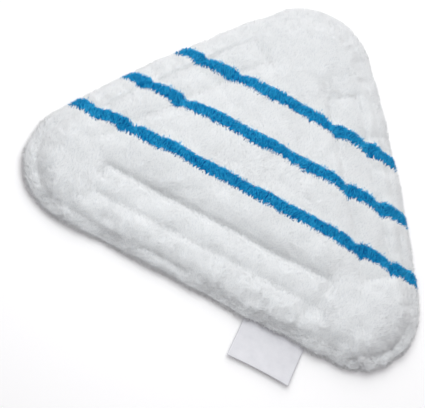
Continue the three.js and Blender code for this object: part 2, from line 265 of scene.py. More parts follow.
# %% [markdown]
# ## One grid for every layer of the bag
# A disc can be covered with a square grid whose square rings become the disc's rings. The pad
# uses that: ring 0 is its middle, the inner rings grow out to the edge of the flat part, and
# the outer rings follow the profile over the shoulder, through the hem stitch, round the rolled
# edge and under it. All the layers use the same grid, so a layer is closed against the next
# one by joining equal points, and the simulation's coarse grid fits the fine one.

# %% Grid and profiles
FLAT_INSET = 20.0  # the rings inside this inset only grow from the middle
HEM_INSET = 9.0
PAD_MIDDLE = np.array([0.0, base_y + 80.0])
INNER_SHARE = 7 / 12  # of the rings lie inside the flat part

# Each layer's section, as [inset from the outline, height], from the flat part to the lip under
# the edge. Point by point they keep the same order, so equal points face each other.
SECTIONS = {
    "pile": [(20, 11.5), (15.5, 11.2), (12, 9.4), (9, 7.0), (7.2, 7.6), (4.9, 8.1),
             (2.9, 7.3), (1.8, 5.2), (2.2, 2.8), (3.6, 1.4), (5.2, 1.2)],
    "pile_root": [(20, 9.8), (15.5, 9.5), (12, 7.6), (9, 5.5), (7.2, 5.9), (5.4, 6.1),
                  (4.3, 5.6), (3.7, 4.6), (3.7, 3.2), (3.8, 2.2), (5.2, 1.9)],
    "ground": [(20, 9.3), (15.5, 9.0), (12, 7.1), (9, 5.1), (7.2, 5.5), (5.6, 5.7),
               (4.7, 5.3), (4.2, 4.4), (4.2, 3.3), (4.2, 2.6), (4.3, 2.1)],
    "ground_inside": [(20, 8.5), (15.5, 8.2), (12, 6.3), (9, 4.4), (7.3, 4.8), (6.1, 4.9),
                      (5.4, 4.6), (5.0, 4.0), (5.0, 3.3), (5.0, 2.6), (5.0, 2.1)],
    "foam_top": [(20, 8.2), (15.5, 7.9), (12, 6.0), (9, 4.0), (7.6, 4.1), (7.0, 3.9),
                 (6.8, 3.75), (6.7, 3.6), (6.65, 3.5), (6.6, 3.4), (6.6, 3.25)],
    "back_top": [(20, 2.5), (18, 2.5), (16, 2.5), (14, 2.5), (12, 2.5), (10.5, 2.5),
                 (9.6, 2.5), (8.6, 2.5), (7.6, 2.5), (6.4, 2.5), (5.3, 2.5)],
}


def smooth_curve(knots, samples=None):
    """A Catmull-Rom curve through the knots: for each four knots a, b, c and d it is half of
    2b + (c - a)t + (2a - 5b + 4c - d)t^2 + (3b - a - 3c + d)t^3. It is read at samples, shares
    of the knots from 0 to 1, or returned whole with its own shares."""
    knots = np.asarray(knots, float)
    padded = np.vstack([2 * knots[0] - knots[1], knots, 2 * knots[-1] - knots[-2]])
    dense = np.linspace(0, len(knots) - 1, 60 * len(knots))
    cell = np.minimum(dense.astype(int), len(knots) - 2)
    t = (dense - cell)[:, None]
    a, b, c, d = (padded[cell + i] for i in range(4))
    curve = 0.5 * (2 * b + (c - a) * t + (2 * a - 5 * b + 4 * c - d) * t**2
                   + (3 * b - a - 3 * c + d) * t**3)
    if samples is None:
        return dense / dense[-1], curve
    return read_line(samples, dense / dense[-1], curve)


def pile_shares():
    """Where each share of the pile section's length lies along its knots."""
    knot_share, curve = smooth_curve(SECTIONS["pile"])
    length = along_line(curve)
    return length / length[-1], knot_share


SECTION_LENGTH, SECTION_KNOT = pile_shares()


class Grid:
    """A square grid of points laid over the pad. Each point has its place round the outline
    (share), how far it is from the middle to the flat part's edge (growth) and its place along
    the section (knot)."""

    def __init__(self, rings):
        step = np.arange(-rings, rings + 1)
        i, j = np.meshgrid(step, step, indexing="ij")
        ring = np.maximum(np.abs(i), np.abs(j))
        side = np.select(
            [(i == ring) & (j > -ring), (j == ring) & (i < ring), (i == -ring) & (j < ring)],
            [j, 2 * ring - i, 4 * ring - j],
            default=6 * ring + i,
        )
        self.width = 2 * rings + 1
        ring = ring.ravel()
        self.share = side.ravel() / np.maximum(8 * ring, 1) + 0.125
        flat_rings = round(rings * INNER_SHARE)
        self.growth = np.clip(ring / flat_rings, 0, 1)
        by_length = np.clip((ring - flat_rings) / (rings - flat_rings), 0, 1)
        self.knot = np.interp(by_length, SECTION_LENGTH, SECTION_KNOT)
        self.point, self.normal = on_outline(self.share)
        self.faces = grid_faces(self.width, self.width)

    def layer(self, name):
        """The plain shape of one layer, before anything pulls on it."""
        section = smooth_curve(SECTIONS[name], self.knot)
        flat = self.point - FLAT_INSET * self.normal
        inside = PAD_MIDDLE + self.growth[:, None] * (flat - PAD_MIDDLE)
        rim = self.point - section[:, :1] * self.normal
        plan = np.where(self.growth[:, None] < 1, inside, rim)
        return np.column_stack([plan, section[:, 1]])


RINGS = 120
fine = Grid(RINGS)
print("grid of", len(fine.faces), "faces")

# %% [markdown]
# ## Where the stitches pull
# The three loop tapes are sewn through everything, so their stitch lines press long valleys
# into the plush. Each tape's middle, direction and size are read from its solid. The distance
# from a point to a rounded rectangle has a simple formula, and the valley's depth follows it.

# %% Tapes and valleys
TAPE_SIDES = ("base", "right", "left")
TAPE_MARGIN = 1.5  # from a tape's edge to its stitches
STITCH_CORNER = 2.6
VALLEY_DEPTH = {"base": 2.9, "right": 1.8, "left": 1.3}
NEAR_EDGE_SHARE = 0.38  # of the base tape's depth is left on its side next to the edge
VALLEY_WIDTH = 2.6
STRIP_SINK = 1.1  # the cloth over a tape lies a little lower than the cloth beside it


def tape_place(side):
    """Middle, direction, half length and half width of a loop tape, from its CAD solid."""
    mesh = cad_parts[f"loop_tape_{side}"].data
    points = np.empty(3 * len(mesh.vertices), np.float32)
    mesh.vertices.foreach_get("co", points)
    plan = points.reshape(-1, 3)[:, :2] / MM
    low, high = plan.min(0), plan.max(0)
    middle = (low + high) / 2
    far = plan[np.argmax(np.linalg.norm(plan - middle, axis=1))] - middle
    centred = plan - middle
    turns = np.linspace(0, np.pi, 3601)
    widths = np.abs(centred @ np.array([-np.sin(turns), np.cos(turns)])).max(0)
    turn = turns[np.argmin(widths)]
    half_width = widths.min()
    half_length = np.sqrt(far @ far - half_width**2)
    return {"middle": middle, "turn": turn, "half": np.array([half_length, half_width])}


tapes = {side: tape_place(side) for side in TAPE_SIDES}


def in_tape(tape, plan):
    """Points of the plan in a tape's own directions, along it and across it."""
    c, s = np.cos(tape["turn"]), np.sin(tape["turn"])
    offset = plan - tape["middle"]
    return np.stack([offset @ [c, s], offset @ [-s, c]], axis=-1)


def from_stitch(tape, plan):
    """Signed distance to a tape's stitch line, a rectangle with round corners; inside is below 0."""
    half = tape["half"] - TAPE_MARGIN - STITCH_CORNER
    beyond = np.abs(in_tape(tape, plan)) - half
    outside = np.linalg.norm(np.maximum(beyond, 0), axis=-1)
    inside = np.minimum(beyond.max(axis=-1), 0)
    return outside + inside - STITCH_CORNER


def valleys(plan):
    """How far the tape stitches pull the cloth down: depth / (1 + (distance / width)^2). The
    full corners of the pad hide the ends of the tapes that reach into them."""
    drop = np.zeros(len(plan))
    for side, tape in tapes.items():
        distance = from_stitch(tape, plan)
        depth = np.full(len(plan), VALLEY_DEPTH[side])
        strength = 0.3 + 0.7 * smoothstep(base_y + 25, base_y + 80, plan[:, 1])
        if side == "base":
            depth *= 1 - (1 - NEAR_EDGE_SHARE) * smoothstep(3, -3, in_tape(tape, plan)[:, 1])
            strength = 1 - 0.45 * smoothstep(40, 85, plan[:, 0])
        valley = depth / (1 + (distance / VALLEY_WIDTH) ** 2)
        drop = np.maximum(drop, strength * (valley + STRIP_SINK * smoothstep(1.5, -3, distance)))
    return drop


for side, tape in tapes.items():
    print(side, "tape turned", round(np.degrees(tape["turn"]), 1), "size", (2 * tape["half"]).round(1))

# %% [markdown]
# ## Puffing the cloth up between its stitches
# Real quilting looks full because the cloth is a little larger than the flat shape, and the
# stitches hold it down in lines. A coarse copy of the face cloth is simulated: the stitch lines
# and the turned edge are pinned, the cloth grows by a few per cent, and pressure lifts it. The
# solver overshoots in places, so the movement is cut to what thick quilting allows and smoothed.
# Only this movement is kept. It is spread over the fine grid, and the plush keeps its detail.

# %% Cloth simulation
SIM_RINGS = 48
CLOTH_GROWTH = 0.03
PRESSURE = 4.0
MOST_MOVEMENT = 2.4
SIM_FRAMES = 22
IRON_PASSES = 9
PIN_REACH = 1.6  # a point this near to a tape's stitches is held
HEM_PIN_REACH = 1.4


def pin_weights(grid, plan):
    """1 on the stitch lines and under the edge, and 0 where the cloth is free."""
    near_tape = np.min([np.abs(from_stitch(tape, plan)) for tape in tapes.values()], axis=0)
    inset = np.linalg.norm(plan - grid.point, axis=1)
    on_rim = grid.growth >= 1
    near_hem = on_rim & (np.abs(inset - HEM_INSET) < HEM_PIN_REACH)
    under = smoothstep(0.62, 0.75, grid.knot)
    return np.maximum.reduce([near_tape < PIN_REACH, near_hem, under])


def simulate():
    """The movement of each coarse point, in millimetres."""
    grid = Grid(SIM_RINGS)
    rest = grid.layer("pile")
    rest[:, 2] -= valleys(rest[:, :2]) * (grid.knot < 0.3)
    pins = pin_weights(grid, rest[:, :2])
    scale = 10.0  # the solver is steadier on a cloth that is metres across
    mesh = bpy.data.meshes.new("puff")
    mesh.from_pydata((rest * MM * scale).tolist(), [], grid.faces.tolist())
    cloth = bpy.data.objects.new("puff", mesh)
    bpy.context.scene.collection.objects.link(cloth)
    group = cloth.vertex_groups.new(name="pins")
    for level in np.unique(pins):
        group.add(np.flatnonzero(pins == level).tolist(), float(level), "REPLACE")
    modifier = cloth.modifiers.new("cloth", "CLOTH")
    settings = modifier.settings
    settings.vertex_group_mass = "pins"
    settings.shrink_min = -CLOTH_GROWTH
    settings.use_pressure = True
    settings.uniform_pressure_force = PRESSURE
    settings.effector_weights.gravity = 0
    settings.bending_stiffness = 0.8
    settings.tension_stiffness = 25
    settings.compression_stiffness = 25
    settings.mass = 0.3
    modifier.collision_settings.use_collision = False
    scene = bpy.context.scene
    for frame_number in range(1, SIM_FRAMES + 1):
        scene.frame_set(frame_number)
    evaluated = cloth.evaluated_get(bpy.context.evaluated_depsgraph_get())
    moved = np.empty(3 * len(mesh.vertices), np.float32)
    evaluated.data.vertices.foreach_get("co", moved)
    scene.frame_set(1)
    bpy.data.objects.remove(cloth)
    movement = moved.reshape(-1, 3) / (MM * scale) - rest
    length = np.linalg.norm(movement, axis=1, keepdims=True)
    print("simulated movement up to", length.max().round(2), "mm, mean", length.mean().round(2))
    return movement * np.minimum(1, MOST_MOVEMENT / np.maximum(length, 1e-6))


def ironed(movement):
    """The movement without its sharpest wrinkles, which a thick plush hides: each point's half
    with an eighth of each neighbour, several times over."""
    width = 2 * SIM_RINGS + 1
    table = movement.reshape(width, width, 3).copy()
    for _ in range(IRON_PASSES):
        around = table[:-2, 1:-1] + table[2:, 1:-1] + table[1:-1, :-2] + table[1:-1, 2:]
        table[1:-1, 1:-1] = 0.5 * table[1:-1, 1:-1] + 0.125 * around
    return table.reshape(-1, 3)


def spread(movement, grid):
    """The coarse grid's values on a fine grid, read in a straight line along each direction."""
    coarse = np.linspace(-1, 1, 2 * SIM_RINGS + 1)
    wanted = np.linspace(-1, 1, grid.width)
    table = movement.reshape(len(coarse), len(coarse), 3)
    for axis in (0, 1):
        table = np.apply_along_axis(lambda line: np.interp(wanted, coarse, line), axis, table)
    return table.reshape(-1, 3)


puff = ironed(simulate())

# %% [markdown]
# ## The folds and lumps that sewing leaves
# The face cloth was turned over the edge and gathered by the hem stitch. Short waves run along
# the rolled edge, highest on the straight side, and the flat part is never quite even.

# %% Shape shared by all the layers of the face cloth
# The folds and lumps, each as the length of its waves and their height.
RIM_WAVE, RIM_HEIGHT, RIM_HEIGHT_ON_BASE = 24.0, 0.3, 0.45
CLUMP, CLUMP_HEIGHT, CLUMP_ON_BASE, CLUMP_IN_CORNER = 4.5, 0.06, 0.04, 0.06
SCALLOP, SCALLOP_HEIGHT = 8.0, 0.5  # of the gathered edge round the right corner
PUCKER, PUCKER_HEIGHT = 9.0, 0.2  # beside the hem stitch
SIDE_ROLL, SIDE_ROLL_SHARE = 55.0, 0.3  # by which the looseness of the hem stitch varies
SWELL, SWELL_HEIGHT = 45, 0.4
DIMPLE, DIMPLE_HEIGHT = 15, 0.16
MOTTLE, MOTTLE_HEIGHT = 13, 0.22  # near the straight edge only
TIP_FULLNESS = 1.8  # the edge stands this much further out round the pad's tip
# How much higher the section lies where the hem stitch is loose, knot by knot: the groove fills
# up and the lip beside it sinks, so that the edge becomes one round roll.
LOOSE_HEM = [(0, 0), (1, 0.3), (2, 1.4), (3, 2.5), (4, 1.0), (5, -0.9), (6, -1.5), (7, -0.8),
             (8, 0), (9, 0), (10, 0)]


def sewn_shape(grid):
    """Movement that all the layers share: valleys, puffing, waves along the edge, slow
    unevenness. The edge's waves are read on a circle as long as the outline, so they meet."""
    x, y = grid.layer("pile")[:, :2].T
    circle = PERIMETER / (2 * np.pi)
    angle = np.mod(grid.share, 1) * PERIMETER / circle
    ring_x, ring_y = circle * np.cos(angle), circle * np.sin(angle)
    on_base = smoothstep(0.1, 0.7, -grid.normal[:, 1])
    in_corner = on_base * smoothstep(0.05, 0.4, grid.normal[:, 0])
    on_roll = smoothstep(0.22, 0.4, grid.knot) * (1 - smoothstep(0.8, 0.98, grid.knot))
    past_flat = grid.growth >= 1
    on_shoulder = past_flat * smoothstep(0.0, 0.12, grid.knot) * (1 - smoothstep(0.35, 0.6, grid.knot))

    lump = waves(ring_x, ring_y, RIM_WAVE, 3) * (RIM_HEIGHT + RIM_HEIGHT_ON_BASE * on_base) * on_roll
    clump_height = CLUMP_HEIGHT + CLUMP_ON_BASE * on_base + CLUMP_IN_CORNER * in_corner
    clump = waves(ring_x, ring_y + 40 * grid.knot, CLUMP, 8) * clump_height * on_roll
    scallop = waves(ring_x, ring_y + 15 * grid.knot, SCALLOP, 6) * SCALLOP_HEIGHT * in_corner * on_roll
    pucker = waves(ring_x, ring_y, PUCKER, 5) * PUCKER_HEIGHT * on_shoulder
    fullness = TIP_FULLNESS * smoothstep(0.35, 0.9, grid.normal[:, 1]) * on_roll

    facing_base = -grid.normal[:, 1]
    loose = 0.75 - 0.4 * smoothstep(-0.2, 0.4, facing_base) + 0.65 * smoothstep(0.8, 1.0, facing_base)
    loose += 0.4 * in_corner
    loose *= 1 + SIDE_ROLL_SHARE * on_base * waves(ring_x, ring_y, SIDE_ROLL, 9)
    relief = past_flat * smooth_curve(LOOSE_HEM, grid.knot)[:, 1]

    mottle = MOTTLE_HEIGHT * waves(x, y, MOTTLE, 13) * smoothstep(base_y + 45, base_y + 15, y)
    uneven = SWELL_HEIGHT * waves(x, y, SWELL, 11) + DIMPLE_HEIGHT * waves(x, y, DIMPLE, 12) + mottle
    move = spread(puff, grid)
    move[:, 2] -= valleys(np.column_stack([x, y])) * (1 - smoothstep(0.1, 0.25, grid.knot))
    move[:, 2] += uneven * (1 - smoothstep(0.35, 0.6, grid.knot))
    move[:, :2] += (0.8 * lump + clump + scallop + fullness)[:, None] * grid.normal
    move[:, 2] += 0.5 * lump + 0.6 * clump + 0.4 * scallop + pucker + loose * relief
    return move


tab_box = node_box("tab_root")
TAB_LIFT = 1.25  # of the turned edge, which the tab passes under


def tab_lift(grid, plan):
    """How far the tab lifts the turned edge, fading out 5 mm beside the tab."""
    across = smoothstep(tab_box[0, 0] - 5, tab_box[0, 0] - 1, plan[:, 0])
    across = across * (1 - smoothstep(tab_box[1, 0] + 1, tab_box[1, 0] + 5, plan[:, 0]))
    near_base = smoothstep(base_y + 12, base_y + 8, plan[:, 1])
    return TAB_LIFT * across * near_base * smoothstep(0.74, 0.98, grid.knot)


def shaped_layer(grid, name, move):
    """A layer of the face cloth with all the movement of the sewn pad."""
    shape = grid.layer(name) + move
    shape[:, 2] += tab_lift(grid, shape[:, :2])
    return shape


fine_move = sewn_shape(fine)
pile = shaped_layer(fine, "pile", fine_move)
pile_root = shaped_layer(fine, "pile_root", fine_move)
print("plush body from", pile.min(0).round(1), "to", pile.max(0).round(1))

# %% [markdown]
# ## Plush
# Plush is knitted with a long pile yarn that is cut and brushed open, so the surface is made of
# fibre tips. Deep down they are too dense to see between. The lower part is therefore one solid
# layer for each band of colour, and the tips are thousands of short bent tufts on it. Polyester
# microfibre scatters light widely: it is rough, has a soft sheen at grazing angles and no shine.

# %% Plush material
FIBRE_BUMP = 0.2  # millimetres
PATCH_SHARE = 0.22  # how strongly the soft patches show


def finish_textile(material, tone, height, stops, relief, surface):
    """The end of every textile's node tree. tone picks a colour between the stops, given as
    (position, sRGB hex). height raises the surface by relief, given as (strength, millimetres)."""
    ramp = add_node(material, "ShaderNodeValToRGB", {"Fac": tone})
    scale = ramp.color_ramp.elements
    for position, _ in stops[1:-1]:
        scale.new(position)
    for stop, (position, colour) in zip(scale, stops):
        stop.position = position
        stop.color = linear(colour)
    bump_settings = {"Strength": relief[0], "Distance": relief[1] * MM}
    bump = add_node(material, "ShaderNodeBump", {"Height": height}, bump_settings)
    links = {"Base Color": (ramp, "Color"), "Normal": (bump, "Normal")}
    shader = add_node(material, "ShaderNodeBsdfPrincipled", links, surface)
    add_node(material, "ShaderNodeOutputMaterial", {"Surface": (shader, "BSDF")})
    return material


def plush(name, deep, middle, light, tuft_share, sheen):
    """Microfibre pile: the tufts' own tone, broken by soft patches a few millimetres wide. The tone
    also carries painted shade at the tufts' roots and on the dense lower part, and painted light
    at their tips. tuft_share is how strongly single tufts differ in colour, painted shade included."""
    material = new_material(name)
    place = {"Vector": (add_node(material, "ShaderNodeTexCoord"), "Object")}
    patch = {"Scale": 1 / (7 * MM), "Detail": 3.0, "Roughness": 0.6}
    patches = add_node(material, "ShaderNodeTexNoise", place, patch)
    # The tone attribute holds each tuft's own tone together with painted shade at the roots and on the
    # lower part, and painted light at the tips.
    tone = add_node(material, "ShaderNodeAttribute", attribute_name="tone")
    sources = {0: (patches, "Fac"), 2: (tone, "Fac")}
    value = add_node(material, "ShaderNodeMath", sources, {1: PATCH_SHARE}, operation="MULTIPLY_ADD")
    for operation, settings in (("SUBTRACT", {1: 0.5}), ("MULTIPLY_ADD", {1: tuft_share, 2: 0.5})):
        sources = {0: (value, "Value")}
        value = add_node(material, "ShaderNodeMath", sources, settings, operation=operation)
    fibre = add_node(material, "ShaderNodeTexNoise", place, {"Scale": 1 / (0.35 * MM), "Detail": 2.0})
    stops = [(0.15, deep), (0.5, middle), (0.95, light)]
    surface = {"Roughness": 0.95, "Sheen Weight": sheen, "Sheen Roughness": 0.5}
    surface["Specular IOR Level"] = 0.2
    tone, height = (value, "Value"), (fibre, "Fac")
    return finish_textile(material, tone, height, stops, (0.2, FIBRE_BUMP), surface)


white_plush = plush("white_microfibre_plush", "#dfe2e5", "#eff1f2", "#fcfcfc", 1.15, 0.35)
blue_plush = plush("blue_dyed_microfibre_plush", "#004f8c", "#0080b9", "#33acdc", 3.0, 0.05)

# %% [markdown]
# ## Bands of colour
# A knitting machine changes the colour of the pile yarn from one course to the next, so each
# stripe is straight in the cloth and steps only where sewing has pulled the cloth. A point's
# course is therefore worked out first, and its colour follows from that. The dense lower part
# of each band is cut out of the plush grid as a solid of its own.

# %% Bands of colour
STRIPES = ("lower", "middle", "upper")
WHITES = ("base", "lower", "upper", "tip")
TIP_OVERLAP = 0.15  # white tips hide this much of a stripe along each of its edges
stripe_ends = np.array([node_box(f"blue_stripe_{name}")[:, 1] for name in STRIPES])
stripe_ends = (stripe_ends + [TIP_OVERLAP, -TIP_OVERLAP]).ravel()
EDGE_RAG = 0.45  # a tuft's colour strays this far from its course
LEAN_SHIFT = 0.8  # the tips are seen this much further up the pad than their roots
SEAM_TUCK = 2.2  # a side tape's stitches tuck this much of a stripe in
TUCK_WIDTH = 3.0
# Painted shade: the dense lower part of the plush is drawn darker than the tips, where shade falls deep
# in the pile.
BODY_PAINTED_SHADE = 0.2  # the dense lower part is darker than the tips


def course_of(points):
    """How far up the pad points of the plush belong. The stripes are straight in this measure;
    where a side tape's stitches tuck the cloth in, a stripe steps towards the straight edge."""
    x, y = points[:, 0], points[:, 1]
    side_tapes = (tapes["right"], tapes["left"])
    near = np.min([np.abs(from_stitch(tape, points[:, :2])) for tape in side_tapes], axis=0)
    tuck = SEAM_TUCK * np.exp(-((near / TUCK_WIDTH) ** 2))
    return y + LEAN_SHIFT + tuck + 0.3 * waves(x, y, 30, 22) + 0.15 * waves(x, y, 5, 23)


def from_stripe_top(points):
    """Distance to the nearest upper edge of a stripe, over which short blue tufts lean."""
    return np.abs(course_of(points)[:, None] - stripe_ends[1::2]).min(1)


def band_of(points):
    """Number of the band at points of the plush: even numbers are white, odd ones blue."""
    return np.searchsorted(stripe_ends, course_of(points))


def closed_between(outer, inner, faces):
    """Points and faces of the solid between two layers, over some of the grid's faces.
    A side wall stands on each edge that only one of the faces has."""
    used, corners = np.unique(faces, return_inverse=True)
    corners = corners.reshape(faces.shape)
    count = len(used)
    edges = np.vstack([corners[:, [i, (i + 1) % 4]] for i in range(4)])
    key = edges.min(1) * count + edges.max(1)
    _, first, uses = np.unique(key, return_index=True, return_counts=True)
    rim = edges[first[uses == 1]]
    walls = np.column_stack([rim[:, 1], rim[:, 0], rim[:, 0] + count, rim[:, 1] + count])
    points = np.vstack([outer[used], inner[used]])
    return points, np.vstack([corners, corners[:, ::-1] + count, walls])


face_band = band_of(pile[fine.faces].mean(1))


def band_piece(number, node, material, slot):
    """The solid lower part of the plush in one band."""
    points, faces = closed_between(pile, pile_root, fine.faces[face_band == number])
    # Painted shade on the whole lower part of a band.
    tone = np.full(len(points), BODY_PAINTED_SHADE)
    piece = make_piece(node + "_body", points, faces, material, attributes={"tone": tone})
    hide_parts(node)
    print(node, "has", len(faces), "faces")


BANDS = []
for number, name in enumerate(WHITES):
    BANDS.append((2 * number, f"white_pile_{name}", white_plush, "white_plush"))
for number, name in enumerate(STRIPES):
    BANDS.append((2 * number + 1, f"blue_stripe_{name}", blue_plush, "blue_plush"))
for band in BANDS:
    band_piece(*band)

# %% [markdown]
# ## Tufts
# A cut pile ends in free fibre tips that stick together in small tufts. They could be hair, but
# an exported model needs a mesh, so each tuft is a bent spike of ten faces. Its surface normals
# are mostly those of the cloth below it, which lets thousands of spikes shade as one soft nap.

# %% Tufts
TUFT_SPACING = 0.76
TUFT_LENGTH = 2.75
TUFT_RADIUS = 0.32
LEAN = np.radians(34)  # of the lower half of a tuft; the tip leans further
TIP_LEAN = np.radians(66)
MOST_TUFTS = 19000  # in one piece
ROOT_DEPTH = 0.25
LOWEST = 0.02  # no tip goes through the floor


def scatter(points, faces, spacing):
    """Random places on the faces, about one per square of the spacing, with the surface's normal."""
    a, b, c, d = (points[faces[:, i]] for i in range(4))
    normal = np.cross(c - a, d - b)
    area = np.linalg.norm(normal, axis=1) / 2
    normal = normal / np.maximum(2 * area, 1e-9)[:, None]
    wanted = area / spacing**2
    count = np.floor(wanted + rng.random(len(faces))).astype(int)
    owner = np.repeat(np.arange(len(faces)), count)
    u, v = rng.random((2, len(owner), 1))
    place = (1 - u) * (1 - v) * a[owner] + u * (1 - v) * b[owner]
    place = place + u * v * c[owner] + (1 - u) * v * d[owner]
    return place, normal[owner]


def unit(vectors):
    """The same directions, one long."""
    return vectors / np.maximum(np.linalg.norm(vectors, axis=-1, keepdims=True), 1e-9)


def tufts(place, normal):
    """Bent three-sided spikes: a root triangle, a middle triangle and a tip. The nap leans
    towards the pad's tip, and strays from that in patches and from tuft to tuft. The lower half
    runs along normal cos(lean) + sideways sin(lean), the upper half leans further. Gives the
    points, faces, tones and shading normals."""
    count = len(place)
    x, y = place[:, 0], place[:, 1]
    stray = 0.25 * waves(x, y, 26, 31) + 0.15 * waves(x, y, 8, 32) + rng.normal(0, 0.6, count)
    nap = np.column_stack([-np.sin(stray), np.cos(stray), np.zeros(count)])
    sideways = unit(nap - np.sum(nap * normal, axis=1)[:, None] * normal)
    upright = 1 - 0.6 * smoothstep(0.75, 0.2, normal[:, 2])  # round the edge the nap stands out
    lean = (upright * LEAN + rng.normal(0, 0.16, count) + 0.05 * waves(x, y, 15, 33))[:, None]
    tip_lean = lean + (TIP_LEAN - LEAN) * upright[:, None]
    at_top = smoothstep(2.5, 0, from_stripe_top(place))
    trimmed = 1 - 0.45 * at_top
    length = (TUFT_LENGTH * trimmed * rng.uniform(0.82, 1.15, count))[:, None]
    rise = normal * np.cos(lean) + sideways * np.sin(lean)
    bend = normal * np.cos(tip_lean) + sideways * np.sin(tip_lean)
    root = place - ROOT_DEPTH * normal
    middle = root + 0.55 * length * rise
    tip = middle + 0.5 * length * bend
    first = unit(np.cross(rise, rng.normal(size=(count, 3))))
    second = np.cross(rise, first)
    ring = []
    for centre, radius in ((root, TUFT_RADIUS), (middle, 0.8 * TUFT_RADIUS)):
        for turn in (0, 2 * np.pi / 3, 4 * np.pi / 3):
            ring.append(centre + radius * (first * np.cos(turn) + second * np.sin(turn)))
    points = np.stack([*ring, tip], axis=1).reshape(-1, 3)
    start = 7 * np.arange(count)[:, None, None]
    sides = np.array([[0, 1, 4], [0, 4, 3], [1, 2, 5], [1, 5, 4], [2, 0, 3], [2, 3, 5],
                      [3, 4, 6], [4, 5, 6], [5, 3, 6], [0, 2, 1]])
    tone = rng.normal(0.42, 0.035, count) + 0.1 * at_top
    # Painted shade and light: the three root points of each tuft are drawn darker, where shade falls
    # among the tufts, and its tip lighter.
    shade = tone[:, None] + np.array([-0.06] * 3 + [0.0] * 3 + [0.04])  # darker at the root
    points[:, 2] = np.maximum(points[:, 2], LOWEST)
    own = unit(points.reshape(count, 7, 3) - np.stack([root] * 3 + [middle] * 4, axis=1))
    single = 0.12 + 0.5 * smoothstep(0.95, 0.5, normal[:, 2])  # single tufts show on the edge
    facing = unit(normal[:, None] + single[:, None, None] * own).reshape(-1, 3)
    return points, (start + sides).reshape(-1, 3), shade.ravel(), facing


place, normal = scatter(pile, fine.faces, TUFT_SPACING)
under_tab = (place[:, 2] < 4) & (place[:, 0] > tab_box[0, 0] - 3) & (place[:, 0] < tab_box[1, 0] + 3)
under_tab &= place[:, 1] < base_y + 10
keep = ~under_tab | (normal[:, 2] > -0.15)
place, normal = place[keep], normal[keep]
rag = EDGE_RAG * (1 + 0.4 * smoothstep(3, 0, from_stripe_top(place))) * rng.normal(size=len(place))
tuft_band = band_of(place + rag[:, None] * [0.0, 1.0, 0.0])
for number, node, material, slot_name in BANDS:
    mine = np.flatnonzero(tuft_band == number)
    mine = mine[np.argsort(place[mine, 0])]
    for part, chosen in enumerate(np.array_split(mine, len(mine) // MOST_TUFTS + 1)):
        points, faces, shade, facing = tufts(place[chosen], normal[chosen])
        looks = {"tone": shade, "custom_normal": facing}
        piece = make_piece(f"{node}_tufts_{part + 1}", points, faces, material, attributes=looks)
print(len(place), "tufts")

# %% [markdown]
# ## What the bag holds
# The plush is knitted into a thin ground cloth, and a sheet of foam fills the bag. Neither shows,
# but each is a real layer of its own, so they are made on a coarser copy of the same grid and
# move with the same stitches. A woven cloth needs its threads drawn along and across it, so each
# cloth carries its flat coordinates as an attribute, and the weave follows the cloth, not space.

# %% Cloth, foam and thread materials
def woven(name, low, high, pitch, roughness, sheen, depth):
    """A plain weave: each thread is a rounded ridge, and warp and weft take turns on top. Its colour
    follows the ridges, so the grooves between threads are painted shade. The pitch is the width
    of a thread in millimetres."""
    material = new_material(name)
    flat = {"Vector": (add_node(material, "ShaderNodeAttribute", attribute_name="flat"), "Vector")}
    wave = {"Scale": np.pi / (10 * pitch * MM)}  # a sine wave of scale s has a period of pi / (10 s)
    warp, weft = (
        add_node(material, "ShaderNodeTexWave", flat, wave, wave_type="BANDS", bands_direction=axis)
        for axis in "XY"
    )
    turns = add_node(material, "ShaderNodeTexChecker", flat, {"Scale": 1 / (pitch * MM)})
    mixing = {"Factor": (turns, "Fac"), 2: (warp, "Fac"), 3: (weft, "Fac")}
    ridge = add_node(material, "ShaderNodeMix", mixing)
    uneven = add_node(material, "ShaderNodeTexNoise", flat, {"Scale": 1 / (6 * MM), "Detail": 4.0})
    # Painted shade: the colour follows the ridges and is darker in the grooves between threads; the
    # noise adds the cloth's uneven tone.
    sources = {0: (ridge, 0), 2: (uneven, "Fac")}
    tone = add_node(material, "ShaderNodeMath", sources, {1: 0.6}, operation="MULTIPLY_ADD")
    stops = [(0.3, low), (1.0, high)]
    surface = {"Roughness": roughness, "Sheen Weight": sheen, "Sheen Roughness": 0.4}
    return finish_textile(material, (tone, "Value"), (ridge, 0), stops, (0.6, depth), surface)


def grained(
    name, low, high, grain, roughness, depth, texture="ShaderNodeTexVoronoi", reading="Distance"
):
    """A grain of cells or fibres of one size in millimetres, in colour and in height. The colour
    follows the height, so the low pits are painted shade.
    """
    material = new_material(name)
    place = {"Vector": (add_node(material, "ShaderNodeTexCoord"), "Object")}
    cells = add_node(material, texture, place, {"Scale": 1 / (grain * MM)}), reading
    surface = {"Roughness": roughness, "Sheen Weight": 0.15}
    # Painted shade: the same texture gives colour and height, so the low pits are drawn darker.
    return finish_textile(material, cells, cells, [(0.0, low), (0.7, high)], (0.6, depth), surface)


# What each finish gives the eye: the knitted ground is dull. It is drawn with the same check as a
# plain weave, though a real one has fine ribs. The woven back is a little less dull. The tape is a
# tighter weave and smoother. The satin ribbon has a soft gloss and almost no relief. Open cells
# break the foam up into pits. The thread is as smooth as the tape, and the loops slightly more so.
# Spun polyester threads are under half a millimetre wide; the weaves are drawn about twice as
# coarse as they are, so that they can be seen at all from where the pad is looked at.
ground_knit = woven("warp_knitted_polyester_ground", "#d5d9de", "#f2f4f6", 0.8, 0.9, 0.2, 0.12)
back_weave = woven("plain_woven_polyester_back", "#c9ced4", "#f0f2f4", 0.9, 0.8, 0.15, 0.15)
tape_weave = woven("woven_nylon_tape", "#cfd4d9", "#f3f5f7", 0.6, 0.6, 0.1, 0.12)
satin_weave = woven("white_satin_ribbon", "#c8c9ce", "#dcdce0", 0.5, 0.42, 0.25, 0.03)
open_foam = grained("open_cell_polyurethane_foam", "#d9d2b8", "#f4efdc", 0.9, 0.9, 0.4)
